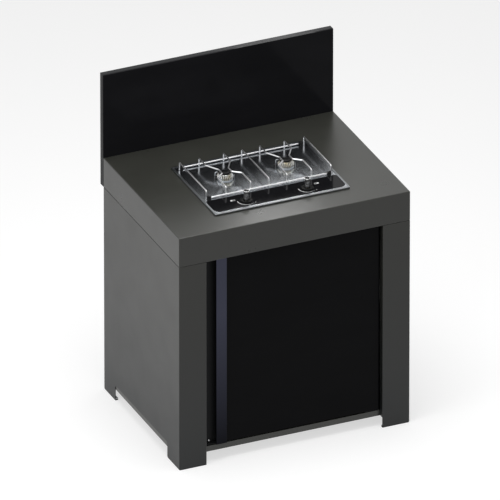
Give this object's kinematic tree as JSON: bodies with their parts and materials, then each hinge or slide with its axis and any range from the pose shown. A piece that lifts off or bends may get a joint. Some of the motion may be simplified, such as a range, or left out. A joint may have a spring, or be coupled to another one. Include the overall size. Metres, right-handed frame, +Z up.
{
  "type": "outdoor kitchen module",
  "caption": "Sheet metal outdoor kitchen module: glass-fronted hinged door, folded worktop, glass splashback and a gas hob with wire pan support.",
  "frame": {"origin": "on the floor, under the centre of the overall box", "axes": "+Z up, +X to the right as seen from the front, +Y to the rear; the door faces -Y"},
  "size_m": [0.865, 0.675, 1.219],
  "materials": {
    "anthracite_paint": "satin powder coat",
    "black_paint": "satin powder coat",
    "zinc_steel": "zinc plated sheet",
    "stainless": "bright stainless sheet",
    "chrome": "polished",
    "black_glass": "opaque black, polished",
    "grip_metal": "dark anodised",
    "cast_alloy": "cast",
    "brass": "machined",
    "enamel": "black enamel",
    "rubber": "matt",
    "ceramic": "glazed",
    "black_plastic": "matt",
    "steel": "bright steel"
  },
  "bodies": {
    "cabinet": {"worktop": "anthracite_paint", "side_panel_left": "anthracite_paint", "side_panel_right": "anthracite_paint", "foot_plates": "zinc_steel", "foot_pads": "rubber", "floor_tray": "anthracite_paint", "back_panel": "anthracite_paint", "hose_grommet": "rubber", "front_rail": "zinc_steel", "cabinet_screws": "steel", "hinge_bracket_bottom": "zinc_steel", "hinge_bracket_top": "zinc_steel", "hinge_screws": "steel", "hinge_pins": "steel", "magnet_catch": "black_plastic", "splash_pan": "black_paint", "splash_glass": "black_glass", "splash_cover": "black_paint", "splash_cover_screws": "steel", "hob_tray": "stainless", "control_glass": "black_glass", "hob_gasket": "rubber", "hob_casing": "zinc_steel", "hob_clamps": "zinc_steel", "clamp_screws": "steel", "igniter": "black_plastic", "gas_manifold": "steel", "gas_inlet": "brass", "feed_pipes": "cast_alloy", "injector_holders": "cast_alloy", "injectors": "brass", "burner_cups": "cast_alloy", "flame_probes": "steel", "spark_electrodes": "ceramic", "knob_bezels": "black_plastic", "gas_valve_left": "brass", "gas_valve_right": "brass"},
    "door": {"door_glass": "black_glass", "door_pan": "black_paint", "handle_channel": "black_paint", "handle_strip": "grip_metal", "handle_end_caps": "black_paint", "door_screws": "chrome", "hinge_bushes": "brass", "strike_plate": "zinc_steel"},
    "pan_support": {"support_bars": "chrome", "support_arms_left": "chrome", "support_arms_right": "chrome", "cross_rods": "chrome", "support_feet": "rubber"},
    "burner_crown_left": {"burner_crown_left": "cast_alloy"},
    "burner_cap_left": {"burner_cap_left": "enamel"},
    "knob_push_left": {"thrust_washer_left": "steel"},
    "knob_left": {"knob_left": "chrome", "spindle_left": "brass"},
    "burner_crown_right": {"burner_crown_right": "cast_alloy"},
    "burner_cap_right": {"burner_cap_right": "enamel"},
    "knob_push_right": {"thrust_washer_right": "steel"},
    "knob_right": {"knob_right": "chrome", "spindle_right": "brass"}
  },
  "joints": [
    {"name": "door_hinge", "type": "hinge", "parent": "cabinet", "child": "door", "pos_m": [0.296, -0.3055, 0.4245], "axis": [0, 0, 1], "range_deg": [0, 110]},
    {"name": "pan_support_lift", "type": "slide", "parent": "cabinet", "child": "pan_support", "axis": [0, 0, 1], "range_m": [0, 0.06]},
    {"name": "burner_crown_lift_left", "type": "slide", "parent": "cabinet", "child": "burner_crown_left", "axis": [0, 0, 1], "range_m": [0, 0.006]},
    {"name": "burner_cap_lift_left", "type": "slide", "parent": "burner_crown_left", "child": "burner_cap_left", "axis": [0, 0, 1], "range_m": [0, 0.04]},
    {"name": "knob_push_left", "type": "slide", "parent": "cabinet", "child": "knob_push_left", "axis": [0, 0, -1], "range_m": [0, 0.004], "stiffness_N_per_m": 1500, "springref_m": -0.003},
    {"name": "knob_turn_left", "type": "hinge", "parent": "knob_push_left", "child": "knob_left", "pos_m": [-0.114, -0.183, 0.92], "axis": [0, 0, 1], "range_deg": [0, 230]},
    {"name": "burner_crown_lift_right", "type": "slide", "parent": "cabinet", "child": "burner_crown_right", "axis": [0, 0, 1], "range_m": [0, 0.006]},
    {"name": "burner_cap_lift_right", "type": "slide", "parent": "burner_crown_right", "child": "burner_cap_right", "axis": [0, 0, 1], "range_m": [0, 0.04]},
    {"name": "knob_push_right", "type": "slide", "parent": "cabinet", "child": "knob_push_right", "axis": [0, 0, -1], "range_m": [0, 0.004], "stiffness_N_per_m": 1500, "springref_m": -0.003},
    {"name": "knob_turn_right", "type": "hinge", "parent": "knob_push_right", "child": "knob_right", "pos_m": [0.114, -0.183, 0.92], "axis": [0, 0, 1], "range_deg": [0, 230]}
  ]
}
